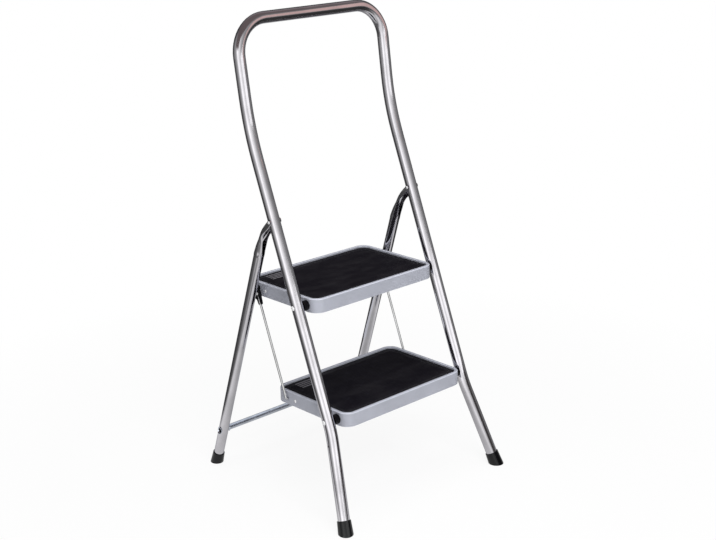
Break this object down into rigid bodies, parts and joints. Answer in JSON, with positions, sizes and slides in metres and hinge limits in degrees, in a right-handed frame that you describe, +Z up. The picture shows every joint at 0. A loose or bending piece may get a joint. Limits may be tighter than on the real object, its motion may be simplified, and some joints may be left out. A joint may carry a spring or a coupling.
{
  "type": "folding step stool",
  "caption": "Folding step stool with a bent tube front frame and tall hand hoop, hinged rear frame, matted tread pans on link rods and rubber feet.",
  "frame": {"origin": "on the floor, on the middle plane, half way between the front and the rear feet", "axes": "+Z up, -Y to the front where the user stands, +X to the right seen from the front"},
  "size_m": [0.4898, 0.4848, 1.009],
  "materials": {
    "tube_chrome": "bright chrome plating on steel tube",
    "rod_chrome": "bright plated wire",
    "crossbar_zinc": "blue zinc plating, satin",
    "rivet_steel": "plated, satin",
    "fitting_steel": "zinc plating, dull",
    "step_paint": "satin light grey powder coat",
    "mat_rubber": "matt ribbed rubber",
    "foot_rubber": "smooth rubber",
    "black_plastic": "moulded, fine grain"
  },
  "bodies": {
    "front_frame": {"front_frame_tube": "tube_chrome", "front_foot_left": "foot_rubber", "front_foot_right": "foot_rubber", "step_pivot_rivets": "rivet_steel", "step_pivot_washers": "fitting_steel", "hinge_rivets": "rivet_steel", "step_spacer_upper_left": "black_plastic", "step_spacer_upper_right": "black_plastic", "step_spacer_lower_left": "black_plastic", "step_spacer_lower_right": "black_plastic"},
    "rear_frame": {"rear_leg_left": "tube_chrome", "rear_leg_right": "tube_chrome", "rear_crossbar": "crossbar_zinc", "rear_foot_left": "foot_rubber", "rear_foot_right": "foot_rubber", "latch_studs": "rivet_steel"},
    "upper_step": {"upper_step_pan": "step_paint", "upper_step_mat": "mat_rubber", "upper_rod_plates": "fitting_steel", "upper_plate_rivets": "rivet_steel"},
    "lower_step": {"lower_step_pan": "step_paint", "lower_step_mat": "mat_rubber", "lower_rod_plates": "fitting_steel", "lower_plate_rivets": "rivet_steel"},
    "link_left": {"link_rod_left": "rod_chrome", "rod_clip_left": "black_plastic", "rod_push_caps_left": "fitting_steel"},
    "link_right": {"link_rod_right": "rod_chrome", "rod_clip_right": "black_plastic", "rod_push_caps_right": "fitting_steel"}
  },
  "joints": [
    {"name": "step_fold", "type": "hinge", "parent": "front_frame", "child": "upper_step", "pos_m": [0, -0.0611, 0.4366], "axis": [1, 0, 0], "range_deg": [0, 64]},
    {"name": "lower_step_turn", "type": "hinge", "parent": "front_frame", "child": "lower_step", "pos_m": [0, -0.14612, 0.2123], "axis": [1, 0, 0], "range_deg": [0, 64]},
    {"name": "link_left_turn", "type": "hinge", "parent": "upper_step", "child": "link_left", "pos_m": [0, 0.0927, 0.4336], "axis": [-1, 0, 0], "range_deg": [0, 64]},
    {"name": "link_right_turn", "type": "hinge", "parent": "upper_step", "child": "link_right", "pos_m": [0, 0.0927, 0.4336], "axis": [-1, 0, 0], "range_deg": [0, 64]},
    {"name": "rear_frame_turn", "type": "hinge", "parent": "front_frame", "child": "rear_frame", "pos_m": [0, 0.00236, 0.604], "axis": [-1, 0, 0], "range_deg": [0, 38.87]}
  ],
  "couplings": [
    {"joint": "lower_step_turn", "follows": "step_fold", "ratio": 1},
    {"joint": "link_left_turn", "follows": "step_fold", "ratio": 1},
    {"joint": "link_right_turn", "follows": "step_fold", "ratio": 1},
    {"joint": "rear_frame_turn", "follows": "step_fold", "ratio": 0.60732}
  ]
}
